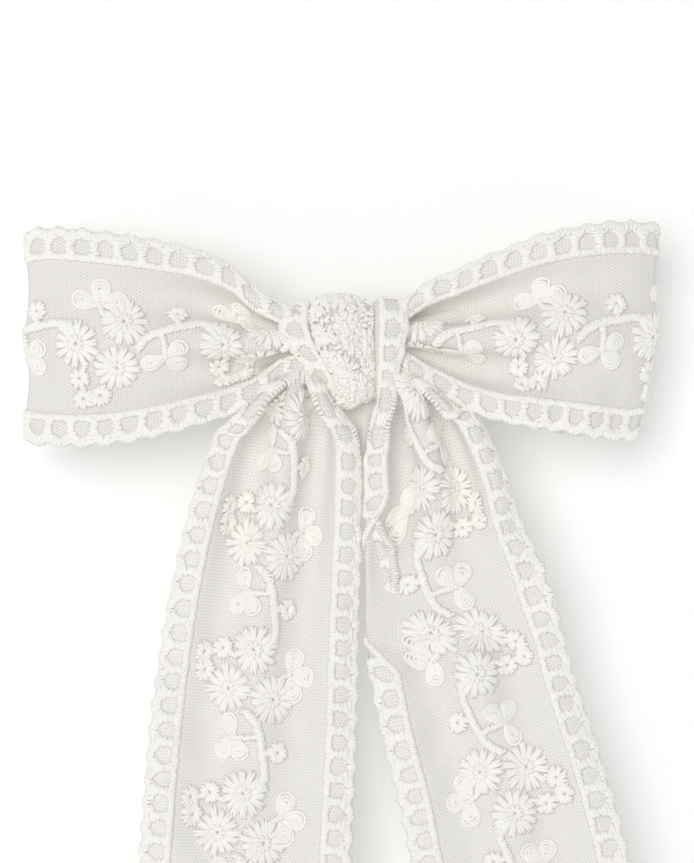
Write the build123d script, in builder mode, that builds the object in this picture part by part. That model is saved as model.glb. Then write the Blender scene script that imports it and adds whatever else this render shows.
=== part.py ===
from build123d import *

import os

# A lace hair bow on an alligator clip: two loops, a knot, two long tails and the clip behind them.
#
# The part stands as it is worn: X runs across the bow, Z runs up, and Y runs back towards the hair.
# The origin is the middle of the clip's grip, between its jaws, straight behind the middle of the knot.
# All sizes are in millimetres.

os.makedirs("parts", exist_ok=True)

# Lace ribbon: 50 mm wide, with a ladder of openings along each border
LOOP_WALL = 1.2
TAIL_WALL = 1.4
WRAP_WALL = 1.5
LADDER_PITCH = 5.5
LADDER_INSET = 3.9
LADDER_HOLE_RADIUS = 1.25

# Loops
LOOP_ROOT_X = 15.3
WAIST_Y = -11.8
WAIST_Z = 1.6
WAIST_HALF_DEPTH = 4.8
WAIST_HALF_HEIGHT = 8.0

# Knot
KNOT_WIDTH = 30.0
KNOT_HEIGHT = 24.8
KNOT_FRONT_Y = -19.0
KNOT_BACK_Y = -3.5
KNOT_CORNER = 6.0
THREAD_RADIUS = 0.3
THREAD_TURNS = 7
THREAD_CLEARANCE = 0.03
STITCH_RADIUS = 0.25
STITCH_LENGTH = 3.0
STITCH_Z = -5.4

# Tails
TAIL_Y = -13.5
TAIL_HINGE_Z = -14.4
TAIL_TOP_ROUND = 0.65
GATHER_DEPTH = 2.0
HEM_HEIGHT = 2.4
HEM_WALL = 2.0

# Clip
PLATE = 0.8
FRONT_PLATE_Y = -1.2  # the inner face of the front jaw's plate
BACK_PLATE_Y = 2.4  # the inner face of the back jaw's plate
JAW_TIP_X = -24.0
THUMB_END_X = 24.0
PIN_X = 9.0
PIN_Y = 0.6
PIN_RADIUS = 0.75
PIN_CLEARANCE = 0.05
PIN_HEAD_RADIUS = 1.1
PIN_HEAD = 0.5
FRONT_JAW_WIDTH = 8.0
BACK_JAW_WIDTH = 6.2
EAR_RADIUS = 1.6
EAR_PLATE = 0.7
LEVER_ANGLE = 17.0
LEVER_LENGTH = 16.0
TOOTH_PITCH = 2.0
TOOTH_COUNT = 13
TOOTH_ROOT_Y = 0.7
TOOTH_TIP_Y = -0.5
FIRST_TOOTH_X = -23.0
GRIP_STRIP = 0.5
LINER = 0.5
PAD_THICKNESS = 1.0
PAD_LENGTH = 38.0
PAD_WIDTH = 9.4
WIRE_RADIUS = 0.25
COIL_RADIUS = 1.45
COIL_PITCH = 0.56
COIL_TURNS = 5 + 163 / 360
SPRING_LEG = 8.0


def keep(piece, label):
    """Names a finished piece and writes it to a file of its own."""
    piece.part.label = label
    export_step(piece.part, f"parts/{label}.step")
    print(label, f"{piece.part.volume:.0f} mm3")


def front_plane(y):
    """The upright plane at depth y that faces the viewer; what is extruded from it comes forward."""
    return Plane.XZ.offset(-y)


def ladder_places(edge, inward, first, last):
    """Centres of the border's openings: one every LADDER_PITCH along the edge, LADDER_INSET in from it.

    inward is 1 when the cloth lies to the left of the edge's direction and -1 when it lies to the right.
    first and last are lengths along the edge.
    """
    places = []
    for step in range(int((last - first) / LADDER_PITCH) + 1):
        share = (first + step * LADDER_PITCH) / edge.length
        direction = edge % share
        across = Vector(-direction.Y, direction.X) * inward
        places.append(edge @ share + across * LADDER_INSET)
    return places


# ---------------------------------------------------------------- loops


def make_loop(side, reach, upper_edge, lower_edge, end_edge):
    """One loop: a lace strip that runs out from the knot, folds round and comes back behind itself.

    side is -1 for the left loop and 1 for the right one. The edges are the loop's outline seen from the
    front, as (x, z) points with x counted outwards from the middle.
    """
    fold_x = reach - 3.6
    with BuildPart() as loop:
        # Seen from above, the two layers part from the waist and meet in a round fold at the far end.
        with BuildSketch(Plane.XY.offset(-50)):
            with BuildLine():
                front = ThreePointArc(
                    (side * LOOP_ROOT_X, -16.0), (side * 42, -19.0), (side * fold_x, -13.4)
                )
                back = ThreePointArc(
                    (side * LOOP_ROOT_X, -9.2), (side * 44, -5.8), (side * fold_x, -6.2)
                )
                ThreePointArc(front @ 1, (side * reach, -9.8), back @ 1)
                Line(front @ 0, back @ 0)
            make_face()
            offset(amount=-LOOP_WALL, kind=Kind.INTERSECTION, mode=Mode.SUBTRACT)
        extrude(amount=100)
        # Seen from the front, the strip narrows towards the knot and has a ladder along each border.
        with BuildSketch(front_plane(10)):
            with BuildLine():
                upper = Spline(*[(side * x, z) for x, z in upper_edge])
                end = Spline(*[(side * x, z) for x, z in end_edge])
                lower = Spline(*[(side * x, z) for x, z in lower_edge])
                Line(upper @ 0, lower @ 0)
                Line(upper @ 1, end @ 0)
                Line(end @ 1, lower @ 1)
            make_face()
            with Locations(*ladder_places(upper, -side, 12, upper.length - 5)):
                Circle(LADDER_HOLE_RADIUS, mode=Mode.SUBTRACT)
            with Locations(*ladder_places(lower, side, 12, lower.length - 5)):
                Circle(LADDER_HOLE_RADIUS, mode=Mode.SUBTRACT)
        extrude(amount=50, mode=Mode.INTERSECT)
        # Inside the knot the gathered strip is one tight bundle.
        with BuildSketch(Plane.YZ):
            with Locations((WAIST_Y, WAIST_Z)):
                Ellipse(WAIST_HALF_DEPTH, WAIST_HALF_HEIGHT)
        extrude(amount=side * (LOOP_ROOT_X + 0.6))
    return loop


left_loop = make_loop(
    side=-1,
    reach=74.0,
    upper_edge=[(LOOP_ROOT_X, 11.0), (27, 21.0), (45, 26.0), (70.5, 28.5)],
    lower_edge=[(LOOP_ROOT_X, -6.0), (26, -13.6), (45, -20.6), (71.5, -22.8)],
    end_edge=[(72.8, 26.8), (74.0, 3.0), (73.4, -20.8)],
)
keep(left_loop, "left_loop")

right_loop = make_loop(
    side=1,
    reach=73.0,
    upper_edge=[(LOOP_ROOT_X, 14.5), (29, 21.6), (46, 28.0), (71.0, 30.0)],
    lower_edge=[(LOOP_ROOT_X, -5.0), (27, -11.2), (43, -17.6), (67.6, -21.4)],
    end_edge=[(72.6, 28.4), (73.0, 8.0), (69.2, -20.0)],
)
keep(right_loop, "right_loop")


# ---------------------------------------------------------------- knot

# The gathering thread: turns wound tight round the waist, each one a closed ring.
with BuildPart() as gathering_thread:
    for turn in range(THREAD_TURNS):
        turn_x = (turn - (THREAD_TURNS - 1) / 2) * (2 * THREAD_RADIUS + 0.04)
        with BuildLine(Plane.YZ.offset(turn_x)):
            ring = EllipticalCenterArc(
                (WAIST_Y, WAIST_Z),
                WAIST_HALF_DEPTH + THREAD_RADIUS + THREAD_CLEARANCE,
                WAIST_HALF_HEIGHT + THREAD_RADIUS + THREAD_CLEARANCE,
                start_angle=0,
                arc_size=360,
            )
        with BuildSketch(Plane(origin=ring @ 0, z_dir=ring % 0)):
            Circle(THREAD_RADIUS)
        sweep(path=ring)
keep(gathering_thread, "gathering_thread")

# The knot: one lace strip wrapped right round the waist.
knot_depth = KNOT_BACK_Y - KNOT_FRONT_Y
with BuildPart() as knot_wrap:
    with BuildSketch(Plane.YZ.offset(-KNOT_WIDTH / 2)):
        with Locations(((KNOT_BACK_Y + KNOT_FRONT_Y) / 2, 0)):
            RectangleRounded(knot_depth, KNOT_HEIGHT, KNOT_CORNER)
            RectangleRounded(
                knot_depth - 2 * WRAP_WALL,
                KNOT_HEIGHT - 2 * WRAP_WALL,
                KNOT_CORNER - WRAP_WALL,
                mode=Mode.SUBTRACT,
            )
    extrude(amount=KNOT_WIDTH)
    fillet(knot_wrap.faces().filter_by(Axis.X).edges(), radius=0.6)
keep(knot_wrap, "knot_wrap")

# The stitches that close the knot at the back, just below the pad.
with BuildPart() as wrap_stitches:
    for column in range(-2, 3):
        with BuildSketch(Plane.YZ.offset(column * 4.6 - STITCH_LENGTH / 2)):
            with Locations((KNOT_BACK_Y + STITCH_RADIUS, STITCH_Z)):
                Circle(STITCH_RADIUS)
        extrude(amount=STITCH_LENGTH)
keep(wrap_stitches, "wrap_stitches")

# The middle of the tails' strip: it lies under the waist, inside the knot, and turns down on both sides.
GATHER_BOTTOM_Z = TAIL_HINGE_Z + 0.9
GATHER_FLOOR_Z = -KNOT_HEIGHT / 2 + WRAP_WALL + 0.5
KNOT_SIDE_X = KNOT_WIDTH / 2 + 0.2
with BuildPart() as tail_gather:
    with BuildSketch(front_plane(TAIL_Y + GATHER_DEPTH / 2)):
        with BuildLine():
            Polyline(
                (0, -7.4),
                (KNOT_SIDE_X, -7.4),
                (20.5, -11.4),
                (23.5, GATHER_BOTTOM_Z),
                (8.0, GATHER_BOTTOM_Z),
                (8.0, -KNOT_HEIGHT / 2 - 0.2),
                (KNOT_SIDE_X, -KNOT_HEIGHT / 2 - 0.2),
                (KNOT_SIDE_X, GATHER_FLOOR_Z),
                (0, GATHER_FLOOR_Z),
                (0, -7.4),
            )
        make_face()
        mirror(about=Plane.YZ)
    extrude(amount=GATHER_DEPTH)
keep(tail_gather, "tail_gather")


# ---------------------------------------------------------------- tails


def make_tail(outer_edge, inner_edge):
    """One tail: a lace strip that hangs from its rounded top edge, with a ladder along each border.

    The edges are lists of (x, z) points from the top down; the tail's end is cut straight between them.
    """
    side = 1 if outer_edge[0][0] > inner_edge[0][0] else -1
    with BuildPart() as tail:
        with BuildSketch(front_plane(TAIL_Y + TAIL_WALL / 2)):
            with BuildLine():
                outer = Spline(*outer_edge)
                inner = Spline(*inner_edge)
                Line(outer @ 0, inner @ 0)
                Line(outer @ 1, inner @ 1)
            make_face()
            with Locations(*ladder_places(outer, -side, 16, outer.length - 4)):
                Circle(LADDER_HOLE_RADIUS, mode=Mode.SUBTRACT)
            with Locations(*ladder_places(inner, side, 16, inner.length - 4)):
                Circle(LADDER_HOLE_RADIUS, mode=Mode.SUBTRACT)
        extrude(amount=TAIL_WALL)
        fillet(tail.edges().filter_by(Axis.X).sort_by(Axis.Z)[-2:], radius=TAIL_TOP_ROUND)
    return tail


def make_hem(outer_edge, inner_edge):
    """The overlocked edging along a tail's cut end."""
    outer = Vector(*outer_edge[-1])
    inner = Vector(*inner_edge[-1])
    drop = Vector(0, -HEM_HEIGHT)
    with BuildPart() as hem:
        with BuildSketch(front_plane(TAIL_Y + HEM_WALL / 2)):
            with BuildLine():
                Polyline(outer, inner, inner + drop, outer + drop, outer)
            make_face()
        extrude(amount=HEM_WALL)
        lower_edges = hem.faces().sort_by(Axis.Z)[0].edges().filter_by(Axis.Y, reverse=True)
        fillet(lower_edges, radius=0.8)
    return hem


TAIL_TOP_Z = TAIL_HINGE_Z + TAIL_WALL / 2

left_outer = [(-23.5, TAIL_TOP_Z), (-32, -29.7), (-39.5, -57), (-43.4, -80), (-46.8, -117), (-51.5, -193)]
left_inner = [(-7.5, TAIL_TOP_Z), (-1.0, -20.5), (3.0, -34), (2.9, -66), (1.1, -117), (-2.0, -202)]
keep(make_tail(left_outer, left_inner), "left_tail")
keep(make_hem(left_outer, left_inner), "left_hem")

right_outer = [(23.5, TAIL_TOP_Z), (33, -29.7), (42.2, -48), (50.2, -71), (65, -117), (76, -193)]
right_inner = [(7.5, TAIL_TOP_Z), (5.9, -29.7), (4.4, -48), (4.6, -66), (14.8, -117), (27, -202)]
keep(make_tail(right_outer, right_inner), "right_tail")
keep(make_hem(right_outer, right_inner), "right_hem")


# ---------------------------------------------------------------- clip

# The felt pad that is glued between the bow and the clip.
with BuildPart() as backing_pad:
    with BuildSketch(front_plane(KNOT_BACK_Y + PAD_THICKNESS)):
        SlotOverall(PAD_LENGTH, PAD_WIDTH)
    extrude(amount=PAD_THICKNESS)
keep(backing_pad, "backing_pad")

# The grosgrain liner on the outside of the front jaw.
jaw_length = THUMB_END_X - JAW_TIP_X
jaw_middle_x = (THUMB_END_X + JAW_TIP_X) / 2
with BuildPart() as clip_liner:
    with BuildSketch(front_plane(FRONT_PLATE_Y - PLATE)):
        with Locations((jaw_middle_x, 0)):
            RectangleRounded(jaw_length, FRONT_JAW_WIDTH - 0.4, 2.0)
    extrude(amount=LINER)
keep(clip_liner, "clip_liner")


def ear_outline(plate_y, half_length):
    """Corners of an ear's side view, from its foot on the plate to the pin; a circle rounds its end."""
    foot_left = (PIN_X - half_length, plate_y)
    foot_right = (PIN_X + half_length, plate_y)
    return [foot_left, (PIN_X - EAR_RADIUS, PIN_Y), (PIN_X + EAR_RADIUS, PIN_Y), foot_right, foot_left]


# The front jaw stays with the bow: a flat plate with two ears outside the back jaw's.
with BuildPart() as front_jaw:
    with BuildSketch(front_plane(FRONT_PLATE_Y)):
        with Locations((jaw_middle_x, 0)):
            RectangleRounded(jaw_length, FRONT_JAW_WIDTH, 2.4)
    extrude(amount=PLATE)
    for ear_z in (FRONT_JAW_WIDTH / 2 - EAR_PLATE, -FRONT_JAW_WIDTH / 2):
        with BuildSketch(Plane.XY.offset(ear_z)):
            with BuildLine():
                Polyline(*ear_outline(FRONT_PLATE_Y, 2.6))
            make_face()
            with Locations((PIN_X, PIN_Y)):
                Circle(EAR_RADIUS)
        extrude(amount=EAR_PLATE)
    with BuildSketch(Plane.XY.offset(-FRONT_JAW_WIDTH / 2)):
        with Locations((PIN_X, PIN_Y)):
            Circle(PIN_RADIUS)
    extrude(amount=FRONT_JAW_WIDTH, mode=Mode.SUBTRACT)
keep(front_jaw, "front_jaw")

# The rubber strip that the teeth close on.
STRIP_END_X = 4.0
with BuildPart() as grip_strip:
    with BuildSketch(front_plane(FRONT_PLATE_Y + GRIP_STRIP)):
        with Locations(((JAW_TIP_X + 0.8 + STRIP_END_X) / 2, 0)):
            RectangleRounded(STRIP_END_X - JAW_TIP_X - 0.8, 6.6, 1.6)
    extrude(amount=GRIP_STRIP)
keep(grip_strip, "grip_strip")

# The back jaw: a toothed channel, two ears inside the front jaw's and a thumb lever.
tooth_points = [(FIRST_TOOTH_X, BACK_PLATE_Y + 0.1)]
for tooth in range(TOOTH_COUNT):
    root_x = FIRST_TOOTH_X + tooth * TOOTH_PITCH
    tooth_points.append((root_x, TOOTH_ROOT_Y))
    tooth_points.append((root_x + TOOTH_PITCH / 2, TOOTH_TIP_Y))
last_tooth_x = FIRST_TOOTH_X + TOOTH_COUNT * TOOTH_PITCH
tooth_points += [(last_tooth_x, TOOTH_ROOT_Y), (last_tooth_x + 1.5, BACK_PLATE_Y + 0.1), tooth_points[0]]

with BuildPart() as back_jaw:
    with BuildSketch(front_plane(BACK_PLATE_Y + PLATE)):
        with Locations(((JAW_TIP_X + PIN_X) / 2, 0)):
            Rectangle(PIN_X - JAW_TIP_X, BACK_JAW_WIDTH)
    extrude(amount=PLATE)
    lever_plane = Plane(
        origin=(PIN_X, BACK_PLATE_Y, 0),
        x_dir=Vector(1, 0, 0).rotate(Axis.Z, LEVER_ANGLE),
        z_dir=Vector(0, -1, 0).rotate(Axis.Z, LEVER_ANGLE),
    ).offset(-PLATE)
    with BuildSketch(lever_plane):
        with Locations((LEVER_LENGTH / 2, 0)):
            Rectangle(LEVER_LENGTH, BACK_JAW_WIDTH)
    extrude(amount=PLATE)
    # A round bend joins the plate to the lever.
    with BuildSketch(Plane.XY.offset(-BACK_JAW_WIDTH / 2)):
        with BuildLine():
            bend = CenterArc((PIN_X, BACK_PLATE_Y), PLATE, 90, LEVER_ANGLE)
            Line(bend @ 0, (PIN_X, BACK_PLATE_Y))
            Line((PIN_X, BACK_PLATE_Y), bend @ 1)
        make_face()
    extrude(amount=BACK_JAW_WIDTH)
    for flange_z in (BACK_JAW_WIDTH / 2 - EAR_PLATE, -BACK_JAW_WIDTH / 2):
        with BuildSketch(Plane.XY.offset(flange_z)):
            with BuildLine():
                Polyline(*tooth_points)
            make_face()
            with BuildLine():
                Polyline(*ear_outline(BACK_PLATE_Y + 0.1, 1.75))
            make_face()
            with Locations((PIN_X, PIN_Y)):
                Circle(EAR_RADIUS)
        extrude(amount=EAR_PLATE)
    with BuildSketch(Plane.XY.offset(-BACK_JAW_WIDTH / 2)):
        with Locations((PIN_X, PIN_Y)):
            Circle(PIN_RADIUS + PIN_CLEARANCE)
    extrude(amount=BACK_JAW_WIDTH, mode=Mode.SUBTRACT)
    ends = back_jaw.edges().filter_by(Axis.Y).sort_by(Axis.X)[:2]
    fillet(ends, radius=1.2)
keep(back_jaw, "back_jaw")

# The pin: held in the front jaw's ears, with a flat head outside each one.
with BuildPart() as hinge_pin:
    with BuildSketch(Plane.XY.offset(-FRONT_JAW_WIDTH / 2)):
        with Locations((PIN_X, PIN_Y)):
            Circle(PIN_RADIUS)
    extrude(amount=FRONT_JAW_WIDTH)
    for head_z in (FRONT_JAW_WIDTH / 2, -FRONT_JAW_WIDTH / 2 - PIN_HEAD):
        with BuildSketch(Plane.XY.offset(head_z)):
            with Locations((PIN_X, PIN_Y)):
                Circle(PIN_HEAD_RADIUS)
        extrude(amount=PIN_HEAD)
keep(hinge_pin, "hinge_pin")

# The torsion spring: a coil round the pin, one leg on the front plate and one under the lever.
coil_height = COIL_PITCH * COIL_TURNS
turns = Helix(pitch=COIL_PITCH, height=coil_height, radius=COIL_RADIUS, lefthand=True)
turns = turns.rotate(Axis.Z, -90).moved(Location((PIN_X, PIN_Y, -coil_height / 2)))
with BuildPart() as torsion_spring:
    with BuildLine() as coil_line:
        add(turns)
    coil = coil_line.edges()[0]
    with BuildSketch(Plane(origin=coil @ 0, z_dir=coil % 0)):
        Circle(WIRE_RADIUS)
    sweep(path=coil, is_frenet=True)
    with BuildSketch(Plane(origin=coil @ 0, z_dir=-(coil % 0))):
        Circle(WIRE_RADIUS)
    extrude(amount=SPRING_LEG)
    with BuildSketch(Plane(origin=coil @ 1, z_dir=coil % 1)):
        Circle(WIRE_RADIUS)
    extrude(amount=SPRING_LEG)
keep(torsion_spring, "torsion_spring")
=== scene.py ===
# %% [markdown]
# # A lace hair bow
#
# The bow is made of 50 mm lace ribbon: a fine net ground, a ladder of small openings along each border,
# and satin-stitched daisies, leaves and a vine between them. Two loops, a knot and two tails are gathered
# on an alligator clip. The plan is to shape the ribbon first, as a bare surface that knows where
# every point of the flat cloth has gone, and then to sew the whole lace pattern onto it stitch by stitch.

import bpy
import numpy as np
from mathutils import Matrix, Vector


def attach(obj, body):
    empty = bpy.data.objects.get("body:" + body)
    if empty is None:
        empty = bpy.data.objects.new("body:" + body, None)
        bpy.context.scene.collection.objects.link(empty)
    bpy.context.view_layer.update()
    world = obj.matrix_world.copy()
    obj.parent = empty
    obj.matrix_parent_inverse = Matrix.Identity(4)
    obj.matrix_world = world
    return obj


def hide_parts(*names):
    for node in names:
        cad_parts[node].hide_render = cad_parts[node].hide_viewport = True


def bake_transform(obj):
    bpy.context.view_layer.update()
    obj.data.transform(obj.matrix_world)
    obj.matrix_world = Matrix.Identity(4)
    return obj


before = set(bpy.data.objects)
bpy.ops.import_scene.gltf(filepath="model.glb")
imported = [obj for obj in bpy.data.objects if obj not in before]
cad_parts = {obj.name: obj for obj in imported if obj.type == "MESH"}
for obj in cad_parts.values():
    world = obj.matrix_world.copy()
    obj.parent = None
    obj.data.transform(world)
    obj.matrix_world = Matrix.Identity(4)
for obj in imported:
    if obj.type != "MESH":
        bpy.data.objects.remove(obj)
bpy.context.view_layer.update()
MM = 0.001
rng = np.random.default_rng(11)

# %% [markdown]
# ## Shader sums written as sums
#
# A pattern in a material is arithmetic on sockets. Wrapping a socket in a small class lets the arithmetic
# be written as Python expressions, and each operator adds the Math node it needs.


# %% A socket that can be added and multiplied
class Value:
    """One output socket of a material's node tree, usable in expressions with numbers and other values."""

    def __init__(self, tree, socket):
        self.tree = tree
        self.socket = socket

    def math(self, operation, *others):
        """A Math node of the given operation on this value and the others."""
        node = self.tree.nodes.new("ShaderNodeMath")
        node.operation = operation
        for slot, value in zip(node.inputs, (self, *others)):
            feed(self.tree, slot, value)
        return Value(self.tree, node.outputs[0])

    def __add__(self, other):
        return self.math("ADD", other)

    __radd__ = __add__

    def __mul__(self, other):
        return self.math("MULTIPLY", other)

    __rmul__ = __mul__

    def __sub__(self, other):
        return self.math("SUBTRACT", other)

    def __rsub__(self, other):
        return (self * -1) + other

    def cos(self):
        return self.math("COSINE")

    def step(self, low, high):
        """0 below low and 1 above high, with a smooth rise between them."""
        node = self.tree.nodes.new("ShaderNodeMapRange")
        node.interpolation_type = "SMOOTHSTEP"
        for name, value in (("Value", self), ("From Min", low), ("From Max", high)):
            feed(self.tree, node.inputs[name], value)
        return Value(self.tree, node.outputs[0])


def feed(tree, slot, value):
    """Links a value to a node's input, or sets the input to a plain number or colour."""
    if isinstance(value, Value):
        tree.links.new(value.socket, slot)
    else:
        slot.default_value = value


class Finish:
    """A new material with one Principled shader; finish.node(...) adds any other node it needs."""

    def __init__(self, name, colour, roughness, **sockets):
        self.material = bpy.data.materials.new(name)
        self.material.use_nodes = True
        self.tree = self.material.node_tree
        self.shader = self.tree.nodes["Principled BSDF"]
        self.set("Base Color", (*colour, 1))
        self.set("Roughness", roughness)
        for socket, value in sockets.items():
            self.set(socket.replace("_", " "), value)

    def set(self, socket, value):
        feed(self.tree, self.shader.inputs[socket], value)

    def node(self, kind, output, settings=None, **inputs):
        """Adds a node, sets its own settings first and its sockets after, and returns one output."""
        node = self.tree.nodes.new("ShaderNode" + kind)
        for name, value in (settings or {}).items():
            setattr(node, name, value)
        for name, value in inputs.items():
            feed(self.tree, node.inputs[name.replace("_", " ")], value)
        return Value(self.tree, node.outputs[output])


# %% [markdown]
# ## Finishes
#
# Embroidery thread is soft spun cotton: ivory, matt and fuzzy, so it has a very light base colour, some
# sheen and a fine bump for its fibres. The stitches overlap, and subsurface scattering would go dark where
# one tube enters another, so a trace of emission is a painted glow: it stands for the light that passes
# through the fibres and lightens the shade between the stitches. The net is the same cotton at a tenth of
# the thickness. Modelling its holes would take millions of faces, so the net is a plain sheet whose alpha
# carries the holes: three cosine waves at 60 degrees to each other have their crests on a honeycomb, and a
# smooth step at the right height turns every crest into a round spot where the sheet lets a little more
# light through.

# %% Ivory thread and net
IVORY = (0.865, 0.853, 0.818)
NET_PITCH = 0.82  # millimetres from hole to hole
NET_HOLE_LEVEL = 0.35

thread = Finish("ivory thread", IVORY, 0.85, Sheen_Weight=0.3, Sheen_Roughness=0.6)
# Painted glow: an even emission that lightens the thread and fills the shade between its stitches.
thread.set("Emission Color", (1.0, 0.97, 0.92, 1))
thread.set("Emission Strength", 0.11)
fuzz = thread.node("TexNoise", "Fac", Scale=2600.0, Detail=2.0, Vector=thread.node("TexCoord", "Object"))
thread.set("Normal", thread.node("Bump", "Normal", Height=fuzz, Strength=0.35, Distance=0.0003))


def honeycomb(finish, pitch):
    """The sum of three cosine waves across the cloth, 60 degrees apart, highest at each hole's middle."""
    place = finish.node("UVMap", "UV", {"uv_map": "cloth"})
    split = finish.tree.nodes.new("ShaderNodeSeparateXYZ")
    feed(finish.tree, split.inputs[0], place)
    along, across = Value(finish.tree, split.outputs[0]), Value(finish.tree, split.outputs[1])
    wave_number = 4 * np.pi / (np.sqrt(3) * pitch)
    total = 0
    for angle in np.radians([0, 60, 120]):
        phase = along * (wave_number * np.cos(angle)) + across * (wave_number * np.sin(angle))
        total = phase.cos() + total
    return total  # runs from -1.5 between the holes to 3 in their middles


net = Finish("net ground", (0.835, 0.82, 0.79), 0.9)
# Painted glow: a faint even emission that lightens the net, and the shade on it, as fill light would.
net.set("Emission Color", (1.0, 0.98, 0.95, 1))
net.set("Emission Strength", 0.03)
holes = honeycomb(net, NET_PITCH).step(NET_HOLE_LEVEL - 0.6, NET_HOLE_LEVEL + 1.0)
net.set("Alpha", 0.92 - holes * 0.16)

# %% Felt, ribbon, steel and rubber
felt = Finish("ivory felt", (0.85, 0.84, 0.79), 1.0, Sheen_Weight=0.5)
fibres = felt.node("TexNoise", "Fac", Scale=2600.0, Detail=3.0, Vector=felt.node("TexCoord", "Object"))
felt.set("Normal", felt.node("Bump", "Normal", Height=fibres, Strength=0.5, Distance=0.0002))

grosgrain = Finish("grosgrain ribbon", (0.88, 0.865, 0.815), 0.6, Sheen_Weight=0.3)
ribs = grosgrain.node(
    "TexWave", "Fac", {"bands_direction": "X"}, Scale=400.0, Vector=grosgrain.node("TexCoord", "Object")
)
grosgrain.set("Normal", grosgrain.node("Bump", "Normal", Height=ribs, Strength=0.8, Distance=0.0002))

steel = Finish("nickel plate", (0.76, 0.755, 0.74), 0.24, Metallic=1.0)
wire = Finish("spring wire", (0.55, 0.55, 0.56), 0.32, Metallic=1.0)
for metal, scale in ((steel, 420.0), (wire, 1800.0)):
    # Plating isn't even: its shine changes a little from place to place, and its face has a faint ripple.
    cloud = metal.node("TexNoise", "Fac", Scale=scale, Detail=4.0, Vector=metal.node("TexCoord", "Object"))
    metal.set("Roughness", 0.14 + cloud * 0.26)
    metal.set("Normal", metal.node("Bump", "Normal", Height=cloud, Strength=0.12, Distance=0.0002))

rubber = Finish("clear rubber", (0.72, 0.71, 0.66), 0.55)
grain = rubber.node("TexNoise", "Fac", Scale=3000.0, Detail=2.0, Vector=rubber.node("TexCoord", "Object"))
rubber.set("Normal", rubber.node("Bump", "Normal", Height=grain, Strength=0.4, Distance=0.0001))

# %% [markdown]
# ## From arrays to meshes
#
# Every new piece is computed as whole arrays of points. Two helpers turn them into meshes: one joins a grid
# of points into quads, and one sweeps a small round section along many thread paths at once.


# %% Meshes from arrays
def new_object(name, points, faces, finish, cloth_map=None):
    """A smooth mesh from points in millimetres and a list of face arrays, one array per corner count."""
    corners = np.concatenate([group.ravel() for group in faces]).astype(np.int32)
    sizes = np.concatenate([np.full(len(group), group.shape[1]) for group in faces])
    starts = np.concatenate([[0], np.cumsum(sizes)[:-1]]).astype(np.int32)
    mesh = bpy.data.meshes.new(name)
    mesh.vertices.add(len(points))
    mesh.vertices.foreach_set("co", (points * MM).astype(np.float32).ravel())
    mesh.loops.add(len(corners))
    mesh.loops.foreach_set("vertex_index", corners)
    mesh.polygons.add(len(sizes))
    mesh.polygons.foreach_set("loop_start", starts)
    mesh.update(calc_edges=True)
    mesh.polygons.foreach_set("use_smooth", np.ones(len(sizes), bool))
    if cloth_map is not None:
        layer = mesh.uv_layers.new(name="cloth")
        layer.data.foreach_set("uv", cloth_map[corners].astype(np.float32).ravel())
    mesh.materials.append(finish.material)
    piece = bpy.data.objects.new(name, mesh)
    bpy.context.scene.collection.objects.link(piece)
    return piece


def grid_faces(rows, columns):
    """Corner numbers of the quads of a grid whose points are stored row by row."""
    corner = np.arange(rows * columns).reshape(rows, columns)
    quads = [corner[:-1, :-1], corner[1:, :-1], corner[1:, 1:], corner[:-1, 1:]]
    return np.stack(quads, axis=-1).reshape(-1, 4)


def unit(vectors):
    """The vectors at length 1."""
    return vectors / np.maximum(np.linalg.norm(vectors, axis=-1, keepdims=True), 1e-9)


def sweep_threads(paths, radii, facing, sides=5, flatness=0.5):
    """Round threads along many paths at once.

    paths is (threads, steps, 3), radii (threads, steps), and facing the cloth's normal beside each point.
    Each ring is path + radius * (cos(angle) * side + flatness * sin(angle) * up), where side is the path's
    direction crossed with facing, and up is side crossed with the direction. Radii vary a little at
    random, as spun cotton does.
    """
    count, steps = radii.shape
    along = unit(np.gradient(paths, axis=1))
    side = unit(np.cross(along, facing))
    up = np.cross(side, along)
    angle = np.linspace(0, 2 * np.pi, sides, endpoint=False)
    ring = np.cos(angle)[:, None] * side[:, :, None] + flatness * np.sin(angle)[:, None] * up[:, :, None]
    uneven = rng.normal(1, 0.07, ring.shape[:3])[..., None]
    points = paths[:, :, None] + radii[:, :, None, None] * ring * uneven
    corner = np.arange(count * steps * sides).reshape(count, steps, sides)
    ahead = np.roll(corner, -1, axis=2)
    quads = np.stack([corner[:, :-1], corner[:, 1:], ahead[:, 1:], ahead[:, :-1]], axis=-1)
    caps = np.concatenate([corner[:, 0], corner[:, -1, ::-1]])
    return points.reshape(-1, 3), [quads.reshape(-1, 4), caps]


def join_parts(parts):
    """One set of points and faces from several."""
    points, faces, first = [], [], 0
    for part_points, part_faces in parts:
        points.append(part_points)
        faces += [group + first for group in part_faces]
        first += len(part_points)
    return np.concatenate(points), faces


# %% [markdown]
# ## Ribbon that remembers where it was flat
#
# A gathered ribbon keeps its width: it only trades width for pleats. So each cross-section is drawn as a
# line that turns by an angle as it crosses the ribbon. The angle follows a wave, and its size is found so
# that the pleated line spans exactly the room it has. Gathering, valleys and ridges then come out with the
# right amount of cloth in them, and the stitches sewn on later keep their true size.

# %% Cloth strips
RIBBON = 50.0
HALF = RIBBON / 2
PLEAT_ANGLES = np.linspace(0, 2.15, 70)


def through(knots, values, at):
    """A smooth curve through given values: cubic pieces with the slope of the neighbours' chord."""
    knots, values = np.asarray(knots, float), np.asarray(values, float)
    slopes = np.gradient(values, knots, axis=0)
    left = np.clip(np.searchsorted(knots, at) - 1, 0, len(knots) - 2)
    gap = (knots[left + 1] - knots[left])[:, None]
    t = (at - knots[left])[:, None] / gap
    a, b = values[left], values[left + 1]
    rise_a, rise_b = slopes[left] * gap, slopes[left + 1] * gap
    return a + t * (rise_a + t * (3 * (b - a) - 2 * rise_a - rise_b + t * (2 * (a - b) + rise_a + rise_b)))


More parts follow.
